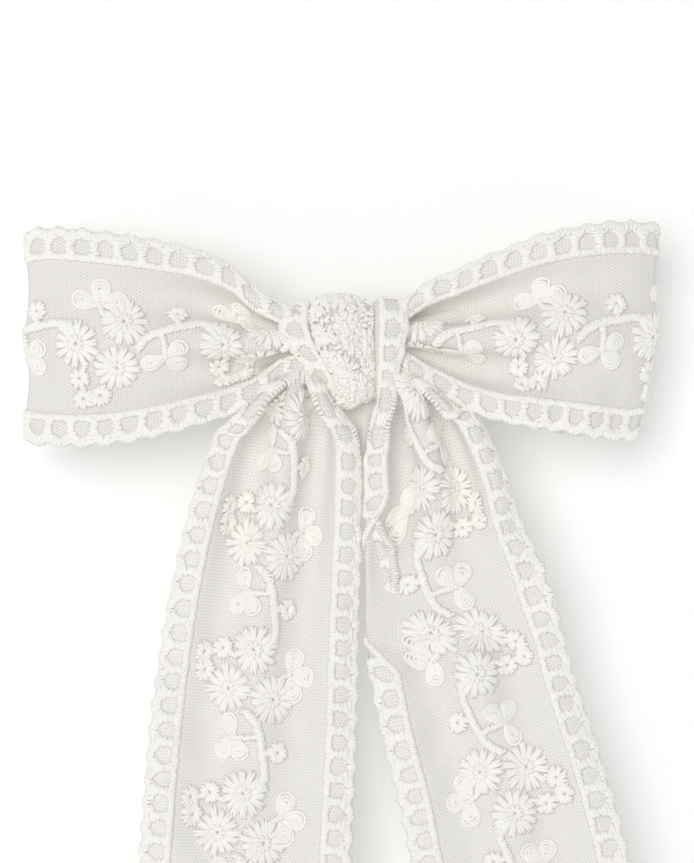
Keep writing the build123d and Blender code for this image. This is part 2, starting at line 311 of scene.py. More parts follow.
def smooth(value, low, high):
    """0 below low, 1 above high and the curve 3t^2 - 2t^3 between them."""
    t = np.clip((value - low) / (high - low), 0, 1)
    return t * t * (3 - 2 * t)


def running_sum(values, step):
    """The integral of values along the last axis, counted from the middle of that axis."""
    total = np.zeros_like(values)
    total[..., 1:] = np.cumsum((values[..., 1:] + values[..., :-1]) / 2 * step, axis=-1)
    return total - total[..., values.shape[-1] // 2][..., None]


class Cloth:
    """A strip of ribbon in place: points and normals on a grid of length along and width across.

    middle, across and facing are the strip's middle line, its sideways direction and its outward direction
    at each station, and room is the width it has there. pleats is the turning wave over (station, width),
    curl an extra turn that tucks an edge under, and swell an extra rise along the outward direction.
    press flattens the pleats where something lies on them, and slant is how much further the strip runs
    at its right border than at its left one, for each millimetre of width.
    """

    def __init__(
        self, middle, across, facing, room, pleats, curl=0.0, swell=0.0, skew=0.0, press=1.0, slant=0.0
    ):
        stations, columns = pleats.shape
        self.width = np.linspace(-HALF, HALF, columns)
        step = self.width[1] - self.width[0]
        turned = PLEAT_ANGLES[:, None, None] * pleats + curl
        spread = running_sum(np.cos(turned), step)
        spans = spread.max(axis=2) - spread.min(axis=2)
        # The pleats' size at each station: the last angle whose span is still wider than the room.
        wider = np.clip((spans > room).sum(axis=0) - 1, 0, len(PLEAT_ANGLES) - 2)
        pick = np.arange(stations)
        share = (spans[wider, pick] - room) / np.maximum(spans[wider, pick] - spans[wider + 1, pick], 1e-6)
        size = PLEAT_ANGLES[wider] + np.clip(share, 0, 1) * (PLEAT_ANGLES[1] - PLEAT_ANGLES[0])
        angle = size[:, None] * pleats + curl
        sideways = running_sum(np.cos(angle), step)
        outward = running_sum(np.sin(angle), step)
        low, high = sideways.min(axis=1), sideways.max(axis=1)
        sideways = (sideways - ((low + high) / 2)[:, None]) * (room / (high - low))[:, None]
        outward = (outward - outward.mean(axis=1, keepdims=True)) * press + swell
        self.points = (
            middle[:, None]
            + sideways[..., None] * across[:, None]
            + outward[..., None] * facing[:, None]
            + np.asarray(skew)
        )
        self.along = np.concatenate([[0], np.cumsum(np.linalg.norm(np.diff(middle, axis=0), axis=1))])
        down = np.gradient(self.points, self.along, axis=0)
        right = np.gradient(self.points, self.width, axis=1)
        self.normals = unit(np.cross(down, right))
        self.length = self.along[-1]
        self.slant = slant

    def end_at(self, width):
        """How far along the ribbon its cut end lies, at a given width."""
        return self.length - abs(self.slant) * HALF + self.slant * width

    def at(self, along, width, height=0.0):
        """Place and normal of points of the flat ribbon, raised by height, from the grid between them."""
        row = np.interp(along, self.along, np.arange(len(self.along)))
        column = (np.clip(width, -HALF, HALF) + HALF) / RIBBON * (len(self.width) - 1)
        i = np.clip(row.astype(int), 0, len(self.along) - 2)
        j = np.clip(column.astype(int), 0, len(self.width) - 2)
        p, q = (row - i)[..., None], (column - j)[..., None]

        def mix(grid):
            top = grid[i, j] * (1 - q) + grid[i, j + 1] * q
            return top * (1 - p) + (grid[i + 1, j] * (1 - q) + grid[i + 1, j + 1] * q) * p

        normal = unit(mix(self.normals))
        spare = width - np.clip(width, -HALF, HALF)
        sideways = unit(self.points[i, np.minimum(j + 1, len(self.width) - 1)] - self.points[i, j])
        place = mix(self.points) + normal * np.asarray(height)[..., None] + sideways * spare[..., None]
        return place, normal


def ripples(along, width, size, seed):
    """Slow uneven waves over a strip: a sum of sines with seeded directions and phases."""
    draw = np.random.default_rng(seed)
    total = 0
    for wavelength in (38, 24, 15, 11):
        heading, phase = draw.uniform(0, 2 * np.pi, 2)
        total = total + np.sin(
            2 * np.pi / wavelength * (along * np.cos(heading) + width * np.sin(heading)) + phase
        ) * (wavelength / 38)
    return total * size


# %% [markdown]
# ## Loops
#
# Each loop is one length of ribbon that leaves the knot, folds round at its far end and comes back behind
# itself. A few stations along the way say how far out it is, how deep, and where its lower and upper borders
# lie. Both the cloth's slope and the amount of pleating follow from those.

# %% Loop stations
COLUMNS = 121
LOOP_PLEAT = 21.0  # width of flat ribbon in one pleat


def loop_cloth(stations, seed, end_lean=0.0):
    """A loop's strip from rows of (x, y, lower z, upper z), taken in the ribbon's own order.

    end_lean moves the lower border's far end sideways, so that the fold isn't quite upright.
    """
    rows = np.array(stations, float)
    middle_rows = np.column_stack([rows[:, 0], rows[:, 1], (rows[:, 2] + rows[:, 3]) / 2])
    chord = np.concatenate([[0], np.cumsum(np.linalg.norm(np.diff(middle_rows, axis=0), axis=1))])
    at = np.linspace(0, chord[-1], int(chord[-1] / 0.5))
    curve = through(chord, np.column_stack([middle_rows, rows[:, 3] - rows[:, 2]]), at)
    middle, room = curve[:, :3], curve[:, 3]
    heading = np.gradient(middle, axis=0)
    heading[:, 2] = 0
    across = np.tile([0.0, 0.0, 1.0], (len(at), 1))
    facing = unit(np.cross(unit(heading), across))
    width = np.linspace(-HALF, HALF, COLUMNS)
    pleats = np.tile(-np.sin(2 * np.pi * width / LOOP_PLEAT), (len(at), 1))
    far = smooth(np.abs(middle[:, 0]), 30, 72)[:, None]
    swell = ripples(at[:, None], width, 0.45, seed)
    lean = np.zeros((len(at), COLUMNS, 3))
    lean[..., 0] = end_lean * far * ((HALF - width) / RIBBON) ** 2.5
    calm = 1 - 0.75 * smooth(np.abs(middle[:, 0]), 62, 70)[:, None]
    return Cloth(middle, across, facing, room, pleats, swell=swell * calm, skew=lean, press=calm)


left_loop = loop_cloth(
    [
        (-8.0, -9.2, -5.0, 8.5),
        (-15.0, -8.6, -6.0, 10.0),
        (-20.0, -7.6, -9.0, 13.0),
        (-27.0, -7.0, -12.8, 17.2),
        (-36.0, -5.9, -16.3, 21.4),
        (-48.0, -5.4, -18.9, 24.6),
        (-60.0, -6.2, -20.4, 26.3),
        (-69.0, -8.2, -20.9, 26.9),
        (-72.8, -10.2, -20.8, 26.9),
        (-70.6, -12.2, -21.3, 27.5),
        (-64.0, -14.9, -21.9, 27.7),
        (-56.0, -16.8, -21.7, 26.8),
        (-44.5, -17.8, -19.9, 25.1),
        (-33.0, -17.2, -16.7, 22.4),
        (-25.0, -15.4, -13.9, 18.2),
        (-20.0, -14.8, -11.0, 13.4),
        (-15.0, -13.6, -6.6, 10.4),
        (-8.0, -12.9, -5.0, 8.5),
    ],
    seed=3,
)

right_loop = loop_cloth(
    [
        (8.0, -12.9, -4.5, 9.0),
        (15.0, -13.6, -5.2, 11.6),
        (19.5, -14.8, -8.6, 15.2),
        (26.3, -15.4, -12.6, 18.3),
        (35.4, -17.0, -16.0, 22.4),
        (44.5, -17.7, -17.6, 26.0),
        (53.7, -16.9, -18.8, 28.1),
        (62.8, -14.9, -20.1, 29.2),
        (69.0, -12.3, -20.6, 29.1),
        (71.6, -10.3, -20.2, 28.6),
        (68.4, -8.3, -20.0, 28.4),
        (60.0, -6.3, -19.4, 27.7),
        (48.0, -5.2, -17.8, 25.4),
        (36.0, -5.5, -15.2, 21.6),
        (27.0, -6.6, -12.0, 17.4),
        (19.5, -7.6, -8.4, 13.0),
        (15.0, -8.6, -5.6, 10.0),
        (8.0, -9.2, -4.8, 8.6),
    ],
    seed=5,
    end_lean=-5.0,
)
print(f"loops: {left_loop.length:.0f} and {right_loop.length:.0f} mm of ribbon")

# %% [markdown]
# ## Tails
#
# The tails come out of the knot's lower corners, over the loops' lower borders, and hang. They are gathered
# at the top and nearly flat lower down. The right one has its inner border tucked under for a stretch,
# which is an extra half turn of the cloth's angle near that border.


# %% Tail stations
TAIL_PLEAT = 20.0  # width of flat ribbon in one pleat
TUCK_BEND = 1.6  # radius, in flat ribbon, of the bend that turns the tucked border over


def tail_cloth(stations, seed, slant, tuck=None):
    """A tail's strip from rows of (x, y, z, width), top first; across is to the viewer's right.

    tuck is (first z, last z, width tucked under) for the left border, with a bend of TUCK_BEND.
    """
    rows = np.array(stations, float)
    chord = np.concatenate([[0], np.cumsum(np.linalg.norm(np.diff(rows[:, :3], axis=0), axis=1))])
    at = np.linspace(0, chord[-1], int(chord[-1] / 0.5))
    curve = through(chord, rows, at)
    middle, room = curve[:, :3], curve[:, 3]
    heading = unit(np.gradient(middle, axis=0))
    flat_heading = heading * [1.0, 0.0, 1.0]
    flat_heading = flat_heading * smooth(-middle[:, 2], 14, 40)[:, None] + np.array([0, 0, -1e-3])
    across = unit(np.cross(flat_heading, [0.0, 1.0, 0.0]))
    across = across * np.sign(across[:, :1])
    facing = unit(np.cross(heading, across))
    width = np.linspace(-HALF, HALF, COLUMNS)
    pleats = np.tile(-np.sin(2 * np.pi * width / TAIL_PLEAT), (len(at), 1))
    curl = 0.0
    if tuck:
        first, last, depth = tuck
        share = smooth(-middle[:, 2], first - 12, first + 10) * (1 - smooth(-middle[:, 2], last - 18, last))
        edge = (-HALF - 2 * TUCK_BEND + (depth + 2 * TUCK_BEND) * share)[:, None]
        curl = np.pi * smooth(edge + TUCK_BEND - width, 0, 2 * TUCK_BEND)
    hang = smooth(-middle[:, 2], 15, 60)[:, None]
    swell = ripples(at[:, None], width, 0.55, seed) * hang
    return Cloth(middle, across, facing, room, pleats, curl=curl, swell=swell, slant=slant)


left_tail = tail_cloth(
    [
        (-8.0, -13.0, -6.5, 8.0),
        (-11.0, -16.8, -9.5, 12.0),
        (-12.3, -17.8, -12.5, 19.0),
        (-12.4, -16.6, -15.5, 25.5),
        (-12.5, -15.0, -19.0, 31.0),
        (-13.3, -13.9, -24.0, 34.0),
        (-14.4, -13.5, -30.0, 36.4),
        (-16.0, -13.5, -40.0, 39.5),
        (-18.2, -13.5, -57.0, 43.0),
        (-20.3, -13.5, -80.0, 46.2),
        (-22.8, -13.5, -117.0, 48.0),
        (-25.2, -13.5, -155.0, 48.8),
        (-27.4, -13.5, -204.0, 49.2),
    ],
    seed=8,
    slant=0.1,
)

right_tail = tail_cloth(
    [
        (9.5, -13.0, -6.5, 8.0),
        (13.5, -16.8, -9.5, 11.0),
        (16.0, -17.6, -12.5, 16.5),
        (16.8, -16.4, -16.0, 22.5),
        (18.0, -15.0, -20.0, 26.8),
        (19.2, -14.0, -25.0, 29.6),
        (20.8, -13.5, -32.0, 32.6),
        (22.6, -13.5, -43.0, 36.6),
        (25.6, -13.5, -57.0, 42.6),
        (27.6, -13.5, -68.0, 44.6),
        (30.2, -13.5, -80.0, 45.6),
        (35.4, -13.5, -98.0, 47.0),
        (40.0, -13.5, -117.0, 48.8),
        (46.3, -13.5, -150.0, 49.0),
        (51.8, -13.5, -204.0, 49.2),
    ],
    seed=13,
    slant=-0.02,
    tuck=(36.0, 76.0, 8.5),
)
print(f"tails: {left_tail.length:.0f} and {right_tail.length:.0f} mm of ribbon")

# %% [markdown]
# ## Knot
#
# The knot is the same ribbon wrapped once round the waist, with its ends sewn at the back. From the side it
# follows a rounded box, and in front it is bunched into a puffed middle that narrows towards the bottom.

# %% Knot path
KNOT_MIDDLE = (-11.3, -0.3)
KNOT_HALF_DEPTH = 7.2
KNOT_HALF_HEIGHT = 11.2
KNOT_SQUARENESS = 2.6


# Where the wrap's cloth turns outwards (above 0) and inwards (below 0), from its left border to its right:
# a flat ladder, a tight fold, the broad puff, the deep crease, a small fold and the other flat ladder.
KNOT_FOLDS = [
    (-25.0, 0.45),
    (-21.5, 0.1),
    (-18.0, -0.2),
    (-16.4, -0.9),
    (-13.6, 1.0),
    (-9.0, 0.3),
    (-3.0, -0.1),
    (2.0, -0.6),
    (4.6, -1.2),
    (7.0, 1.2),
    (10.0, 0.1),
    (12.3, -1.0),
    (14.6, 1.0),
    (17.5, 0.25),
    (21.0, 0.0),
    (25.0, -0.45),
]


def soft_folds(width, folds):
    """The turning wave through given (width, turn) pairs, rounded by a running mean over 1.7 mm."""
    folds = np.array(folds)
    wave = np.interp(width, folds[:, 0], folds[:, 1])
    window = np.ones(5) / 5
    return np.convolve(np.pad(wave, 2, mode="edge"), window, mode="valid")


def knot_cloth():
    """The wrap: y and z go round a superellipse from the back over the top, down the front and under."""
    turn = np.linspace(0, 2 * np.pi, 150)
    power = 2 / KNOT_SQUARENESS
    c, s = np.cos(turn), np.sin(turn)
    y = KNOT_MIDDLE[0] + KNOT_HALF_DEPTH * np.sign(c) * np.abs(c) ** power
    z = KNOT_MIDDLE[1] + KNOT_HALF_HEIGHT * np.sign(s) * np.abs(s) ** power
    chord = np.concatenate([[0], np.cumsum(np.hypot(np.diff(y), np.diff(z)))])
    at = np.linspace(0, chord[-1], int(chord[-1] / 0.4))
    y, z = np.interp(at, chord, y), np.interp(at, chord, z)
    for _ in range(6):
        y[1:-1] = (y[:-2] + 2 * y[1:-1] + y[2:]) / 4
        z[1:-1] = (z[:-2] + 2 * z[1:-1] + z[2:]) / 4
    front = smooth(-y, 12.5, 17.0)
    low = smooth(-z, -7.0, 12.0) * front
    x = 3.2 * low - 0.3
    room = 27.6 + 1.9 * front - 12.8 * low
    middle = np.column_stack([x, y, z])
    across = np.tile([1.0, 0.0, 0.0], (len(at), 1))
    heading = unit(np.gradient(np.column_stack([0 * x, y, z]), axis=0))
    facing = np.cross(heading, across)
    width = np.linspace(-HALF, HALF, COLUMNS)
    pleats = np.tile(soft_folds(width, KNOT_FOLDS), (len(at), 1))
    swell = ripples(at[:, None], width, 0.3, 21)
    free = smooth(-y, 11.0, 18.0)[:, None]
    return Cloth(middle, across, facing, room, pleats, swell=swell * free, press=0.28 + 0.55 * free)


knot = knot_cloth()
print(f"knot: {knot.length:.0f} mm of ribbon")

# %% [markdown]
# ## Net
#
# The ground is one thin layer. Its map holds the flat ribbon's own millimetres, so the holes of the net
# keep their size and follow the cloth through every pleat.


# %% The net of each strip
def net_ground(name, cloth, columns=101):
    """A grid over the flat ribbon, one row each millimetre, put in place by the cloth."""
    rows = int(cloth.length) + 1
    width = np.linspace(-HALF, HALF, columns)
    along = np.linspace(0, 1, rows)[:, None] * cloth.end_at(width)
    width = np.broadcast_to(width, along.shape)
    place, _ = cloth.at(along, width)
    flat = np.stack([along, width], axis=-1).reshape(-1, 2)
    piece = new_object(name, place.reshape(-1, 3), [grid_faces(rows, columns)], net, cloth_map=flat)
    return piece


strips = {
    "left-loop": left_loop,
    "right-loop": right_loop,
    "knot": knot,
    "left-tail": left_tail,
    "right-tail": right_tail,
}
nets = {name: net_ground(name + "-net", cloth) for name, cloth in strips.items()}


def bridge_net():
    """The gathered cloth between the tails: a web that narrows downwards as (1 - t)^0.8 and ripples in y."""
    t, across = np.meshgrid(np.linspace(0, 1, 30), np.linspace(-1, 1, 25), indexing="ij")
    x = 2.2 + 1.2 * t + across * (9.5 * (1 - t) ** 0.8 + 0.6)
    y = -11.8 + 0.5 * np.cos(across * 9 + t) - 0.9 * t
    z = -9.0 - 17.0 * t
    flat = np.stack([t * 24, across * 12], axis=-1).reshape(-1, 2)
    piece = new_object(
        "tail-bridge", np.stack([x, y, z], axis=-1).reshape(-1, 3), [grid_faces(30, 25)], net, cloth_map=flat
    )
    return piece


bridge = bridge_net()
print("net:", sum(len(piece.data.polygons) for piece in nets.values()), "faces")

# %% [markdown]
# ## Stitches
#
# Everything embroidered is thread laid in short stitches. On the flat ribbon a stitch is a line; above it,
# the line rises in the middle and dives into the net at both ends. Describing stitches flat, in whole
# families, makes the pattern easy to draw, and the cloth then carries them into place.


# %% Families of stitches
def straight(starts, ends, radius, rise, base=0.15, steps=5, least=0.6):
    """Straight stitches: flat point = middle + t * half the stitch, height = base + rise * (1 - t^2).

    t runs from -1 to 1, and the thread thins to least of its radius at both ends.
    """
    t = np.linspace(-1, 1, steps)
    flat = (starts + ends)[:, None] / 2 + (ends - starts)[:, None] / 2 * t[:, None]
    heights = np.asarray(base)[..., None] + np.asarray(rise)[..., None] * (1 - t**2)
    radii = np.asarray(radius)[..., None] * (1 - (1 - least) * t**4)
    shape = flat.shape[:2]
    return flat, np.broadcast_to(heights, shape), np.broadcast_to(radii, shape)


def pairs(u, v):
    """Flat points from arrays of their two coordinates."""
    return np.stack(np.broadcast_arrays(u, v), axis=-1).astype(float)


# %% [markdown]
# ## Ladder border
#
# Along each border runs a row of rounded openings. Outside them lies a band of satin stitches set square to
# the edge, between them are rungs of short stitches, and inside them runs an overcast cord. The band bulges
# a little beside every opening, which gives the ribbon its scalloped edge.

# %% Ladder of one border
HOLE_PITCH = 5.5
BAND = 2.1  # width of the outer satin band
HOLE_ACROSS = 3.6
CORD = 1.6
STITCHES = 10  # stitches in the band for each opening
RUNG_STITCHES = 11


def ladder(length, side):
    """The families of stitches of one border; side is 1 for the right border and -1 for the left.

    The outer end of each band stitch lies at HALF + 0.05 + 0.5 * cos(2 pi * distance from the opening's
    middle / pitch). A rung's short stitches lie along the ribbon. With t from -1 at the cord to 1 at the
    band, their half length grows by 1.55 * t^2.2 towards the band, which arches the opening, and by
    0.4 * |t|^3 towards the cord.
    """
    beat_at = np.arange(int(length / HOLE_PITCH * STITCHES))
    along = beat_at * HOLE_PITCH / STITCHES
    beat = beat_at % STITCHES
    outer = HALF + 0.05 + 0.5 * np.cos(2 * np.pi * (beat / STITCHES - 2 / 3))
    outer = outer + rng.normal(0, 0.05, len(beat))
    inner = HALF - BAND + rng.normal(0, 0.15, len(beat))
    slide = rng.normal(0, 0.2, len(beat))
    band = straight(
        pairs(along + slide, side * outer),
        pairs(along - slide, side * inner),
        radius=0.41 * rng.normal(1, 0.09, len(beat)),
        rise=0.38 + rng.normal(0, 0.06, len(beat)),
    )
    step = np.linspace(-1, 1, RUNG_STITCHES)
    middles = HOLE_PITCH * (np.arange(int(length / HOLE_PITCH)) + 1 / 6)[:, None]
    across = HALF - BAND - HOLE_ACROSS / 2 + (HOLE_ACROSS / 2 + 0.1) * step + 0 * middles
    across = across + rng.normal(0, 0.05, across.shape)
    arch = 1.55 * np.clip(step, 0, 1) ** 2.2 + 0.4 * np.clip(-step, 0, 1) ** 3
    half = 0.95 + arch + rng.normal(0, 0.08, across.shape)
    shift = rng.normal(0, 0.17, across.shape)
    tilt = rng.normal(0.15, 0.12, across.shape)
    rungs = straight(
        pairs(middles - half + shift, side * (across - tilt)).reshape(-1, 2),
        pairs(middles + half + shift, side * (across + tilt)).reshape(-1, 2),
        radius=0.4 * rng.normal(1, 0.09, across.size),
        rise=0.36 + rng.normal(0, 0.06, across.size),
        least=0.8,
    )
    at = np.arange(int(length / 0.56)) * 0.56
    low = HALF - BAND - HOLE_ACROSS
    cord = straight(
        pairs(at - 0.2, side * (low + 0.15 + rng.normal(0, 0.08, len(at)))),
        pairs(at + 0.2, side * (low - CORD + rng.normal(0, 0.08, len(at)))),
        radius=0.43 * rng.normal(1, 0.09, len(at)),
        rise=0.4 + rng.normal(0, 0.06, len(at)),
    )
    return [band, rungs, cord]


# %% [markdown]
# ## Flowers, leaves and vine
#
# One repeat of the pattern is 33 mm long. It has three daisies with satin rays, four small blossoms, two
# groups of looped petals and a plaited vine that links them.

# %% The parts of one repeat
REPEAT = 33.0


def rays(centre, angles, near, far, **stitch):
    """Stitches that run out from a centre at the given angles, from one radius to another."""
    out = pairs(np.cos(angles), np.sin(angles))
    return straight(centre + out * near, centre + out * np.asarray(far)[..., None], **stitch)


def daisy(centre, reach, turn, petals=14):
    """A low ring that fills the ground, petals of two fat stitches over it, and a raised middle."""
    each = turn + np.arange(petals) * 2 * np.pi / petals + rng.normal(0, 0.03, petals)
    petal = np.repeat(each, 2) + np.tile([-0.075, 0.075], petals)
    longer = np.repeat(rng.normal(1, 0.05, petals), 2) * reach + rng.normal(0, 0.1, petals * 2)
    rise = np.repeat(rng.normal(0.34, 0.06, petals), 2)
    ground = turn + (np.arange(petals * 2) + 0.5) * np.pi / petals
    middle = turn + np.arange(9) * 2 * np.pi / 9
    return [
        rays(centre, ground, 0.5, reach * 0.86, radius=0.45, rise=0.25, base=0.2, steps=4, least=0.9),
        rays(centre, petal, 1.5, longer, radius=0.47, rise=rise, base=0.28, least=0.85),
        rays(centre, middle, 0.35, 2.1, radius=0.5, rise=0.35, base=0.52, steps=4, least=0.85),
    ]


def blossom(centre, reach, turn):
    """A small flower: eight petals of two stitches each."""
    petal = np.repeat(turn + np.arange(8) * np.pi / 4, 2) + np.tile([-0.16, 0.16], 8)
    petal = petal + rng.normal(0, 0.05, 16)
    longer = reach * rng.normal(1, 0.06, 16)
    return [rays(centre, petal, 0.3, longer, radius=0.47, rise=0.5, base=0.35, least=0.85)]


def looped_petal(base, heading, length, width):
    """Four nested loops: along = length * (1 - cos t) / 2, sideways = width * sin t * sin(t / 2) / 1.54."""
    t = np.linspace(0, 2 * np.pi, 17)
    families = []
    for scale, height in ((1.0, 0.34), (0.72, 0.46), (0.44, 0.5), (0.15, 0.42)):
        along = length * (0.52 + scale * ((1 - np.cos(t)) / 2 - 0.52))
        sideways = width * scale * np.sin(t) * np.sin(t / 2) / 1.54
        u = base[0] + along * np.cos(heading) - sideways * np.sin(heading)
        v = base[1] + along * np.sin(heading) + sideways * np.cos(heading)
        whole = np.ones((1, len(t)))
        families.append((pairs(u, v)[None], whole * height, whole * 0.46))
    return families


def plait(points, half_width, radius=0.42):
    """Slanted stitches that cross a curved line by turns, every 0.42 mm, like a plait."""
    points = np.array(points, float)
    chord = np.concatenate([[0], np.cumsum(np.linalg.norm(np.diff(points, axis=0), axis=1))])
    at = np.arange(0, chord[-1], 0.42)
    line = through(chord, points, at)
    heading = unit(np.gradient(line, axis=0))
    side = pairs(-heading[:, 1], heading[:, 0])
    lean = np.where(np.arange(len(at)) % 2 == 0, 1.0, -1.0)[:, None]
    reach = side * half_width * lean + heading * half_width * 0.7
    reach = reach * rng.normal(1, 0.08, (len(at), 1))
    return [straight(line - reach, line + reach, radius=radius, rise=0.45, base=0.3, least=0.8)]


def tufts(first, last, count):
    """Short fat stitches at random places and headings in a flat box from one corner to the other."""
    place = rng.uniform(first, last, (count, 2))
    heading = rng.uniform(0, np.pi, count)
    reach = pairs(np.cos(heading), np.sin(heading)) * rng.uniform(0.45, 0.95, count)[:, None]
    base = rng.uniform(0.5, 0.78, count)
    return straight(place - reach, place + reach, radius=0.52, rise=0.3, base=base, steps=4)


# %% One repeat and its tiling
def one_repeat():
    """All the families of one repeat, laid out from the ribbon's middle line."""
    families = daisy((0.0, -1.3), 5.6, 0.1) + daisy((9.4, -6.9), 5.6, 0.3) + daisy((11.1, 3.9), 5.5, 0.0)
    for u, v, reach in ((0.4, -9.4, 2.6), (1.6, -14.2, 2.5), (5.6, -13.4, 2.7), (23.3, 6.0, 2.5)):
        families += blossom((u, v), reach, u)
    for heading in np.radians([15, 88, 165]):
        families += looped_petal((5.4 + 0.4 * np.cos(heading), 8.0), heading, 5.9, 4.2)
    for heading in np.radians([200, 325, 35]):
        families += looped_petal((20.4, -4.9), heading, 5.6, 3.9)
    families += plait([(14.3, -2.2), (16.6, 0.2), (19.8, 1.5), (24.1, 2.4), (29.4, 3.1), (33.0, 1.6)], 0.95)
    families += plait([(20.4, -4.9), (20.2, -1.6), (19.6, 1.4)], 0.7)
    families += plait([(5.2, 8.0), (6.6, 5.4), (8.6, 4.6)], 0.7)
    families += plait([(2.0, -5.6), (1.2, -8.2)], 0.6) + plait([(1.0, -11.6), (1.6, -13.0)], 0.6)
    families += plait([(23.3, 4.4), (23.4, 2.6)], 0.7)
    return families


def tiled(families, first, last):
    """Every family repeated from the first repeat to the last, each thread shifted a hair at random."""
    result = []
    for flat, heights, radii in families:
        starts = np.arange(first, last + 1) * REPEAT
        many = flat[None] + pairs(starts, 0 * starts)[:, None, None]
        many = many.reshape(-1, *flat.shape[1:])
        many = many + rng.normal(0, 0.05, (len(many), 1, 2))
        count = len(starts)
        result.append((many, np.tile(heights, (count, 1)), np.tile(radii, (count, 1))))
    return result


# %% [markdown]
# ## Sewing onto the cloth
#
# A pattern can start anywhere along its ribbon and can run either way, so each strip has an origin and a
# direction. Stitches that would hang over a cut end are left out. Every stitch also has its flat return
# on the back of the net, which is drawn with fewer corners because it is only seen from behind.


# %% From flat stitches to pieces
BACK_DEPTH = -0.12


def sew(name, cloth, families, origin=0.0, way=1):
    """Stitches in place: along = origin + way * u, width = way * v, raised along the cloth's normal."""
    parts = []
    for flat, heights, radii in families:
        along = origin + way * flat[..., 0]
        width = way * flat[..., 1]
        inside = ((along > 0.3) & (along < cloth.end_at(width) - 0.3)).all(axis=1)
        if inside.any():
            place, normal = cloth.at(along[inside], width[inside], heights[inside])
            parts.append(sweep_threads(place, radii[inside], normal))
            every = max(1, (flat.shape[1] - 1) // 2) if flat.shape[1] < 12 else 2
            along, width, radii = along[inside, ::every], width[inside, ::every], radii[inside, ::every]
            place, normal = cloth.at(along, width, BACK_DEPTH + 0 * along)
            parts.append(sweep_threads(place, radii * 0.9, normal, sides=4, flatness=0.35))
    piece = new_object(name, *join_parts(parts), thread)
    return piece


def along_where(cloth, axis, value):
    """How far along the strip its middle line passes a coordinate, on the front layer where it has two."""
    middle = cloth.points.shape[1] // 2
    off = np.abs(cloth.points[:, middle, axis] - value)
    faces_back = cloth.normals[:, middle, 1] > 0.2
    return cloth.along[np.argmin(off + 1000 * faces_back)]


origins = {
    "left-loop": (along_where(left_loop, 0, -61.2), 1),
    "right-loop": (along_where(right_loop, 0, 38.8), 1),
    "knot": (along_where(knot, 2, 3.5), 1),
    "left-tail": (along_where(left_tail, 2, -68.6), 1),
    "right-tail": (along_where(right_tail, 2, -74.0), -1),
}

# %% Crowded flowers and tufts on the knot
# The wrap shows the thickest part of the pattern, where the flowers crowd each other.
CROWDED_DAISIES = (  # along, across, reach, turn
    (4.6, 4.6, 4.6, 4.6),
    (14.6, -1.6, 4.8, 14.6),
    (-7.0, 4.4, 4.8, -7.0),
    (15.4, 10.2, 4.4, 15.4),
    (2.6, 11.0, 4.2, 2.6),
    (20.5, 4.5, 4.6, 0.2),
    (-8.5, -3.5, 4.4, 0.4),
)
CROWDED_BLOSSOMS = (  # along, across
    (-6.0, -9.0),
    (-10.0, -11.5),
    (-3.0, -12.5),
    (6.0, -9.5),
    (12.0, -12.0),
    (-4.0, 13.0),
    (8.5, 13.0),
)

crowd = []
for u, v, reach, turn in CROWDED_DAISIES:
    crowd += daisy((u, v), reach, turn)
for u, v in CROWDED_BLOSSOMS:
    crowd += blossom((u, v), 3.0, v)

# Between the flowers the bunched thread stands up in tufts, until no net shows.
crowd.append(tufts((-17, -15.5), (25, 10.5), 1000))
print("families of extra stitches on the knot:", len(crowd))

# %% Sew every strip
borders, motifs = {}, {}
for name, cloth in strips.items():
    origin, way = origins[name]
    borders[name] = sew(name + "-border", cloth, ladder(cloth.length, 1) + ladder(cloth.length, -1))
    pattern = tiled(one_repeat(), -7, 7) + (crowd if name == "knot" else [])
    motifs[name] = sew(name + "-motifs", cloth, pattern, origin, way)
    print(name, len(borders[name].data.polygons), len(motifs[name].data.polygons), "faces of thread")

# %% [markdown]
# ## Hems
#
# The cut ends of the tails would fray, so they are overcast: short stitches side by side wrap the edge.


# %% Overcast ends
def hem(name, cloth):
    """Stitches every 0.45 mm across the ribbon, from 2.2 mm inside the cut end to just past it."""
    width = np.arange(-HALF + 0.2, HALF, 0.45)
    end = cloth.end_at(width)
    families = [straight(pairs(end - 2.2, width), pairs(end - 0.05, width), radius=0.32, rise=0.5)]
    place, normal = cloth.at(families[0][0][..., 0], families[0][0][..., 1], families[0][1])
    piece = new_object(name, *sweep_threads(place, families[0][2], normal), thread)
    return piece


hems = {"left-tail": hem("left-tail-hem", left_tail), "right-tail": hem("right-tail-hem", right_tail)}

# %% [markdown]
# ## Which body each piece follows
#
# Loops and knot are sewn to the clip's front jaw. A tail bends where it leaves the knot; here its pieces, and
# the bridge of gathered cloth with the left one, only have their placement baked into their points.

# %% Riding, baking and hiding the engineered cloth
HINGE_X, HINGE_Y = 0.0155, -0.0135  # the right tail's hinge; the left one's is at -HINGE_X

for name in ("left-loop", "right-loop", "knot"):
    for piece in (nets[name], borders[name], motifs[name]):
        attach(piece, "bow")

for name, body, x in (("left-tail", "left_tail", -HINGE_X), ("right-tail", "right_tail", HINGE_X)):
    hung = [nets[name], borders[name], motifs[name], hems[name]]
    if name == "left-tail":
        hung.append(bridge)
    for piece in hung:
        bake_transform(piece)

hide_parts("tail_gather")
for name, node in (("left-loop", "left_loop"), ("right-loop", "right_loop"), ("knot", "knot_wrap")):
    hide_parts(node)
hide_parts("left_tail")
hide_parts("right_tail")
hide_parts("left_hem")
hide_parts("right_hem")

for name, held in (
    ("left-loop", "folded"),
    ("right-loop", "folded"),
    ("knot", "gathered"),
    ("left-tail", "hung"),
    ("right-tail", "hung"),
):
    sewn = [borders[name], motifs[name]] + ([hems[name]] if name in hems else [])
    resting = "backing_pad" if name == "knot" else nets["knot"]
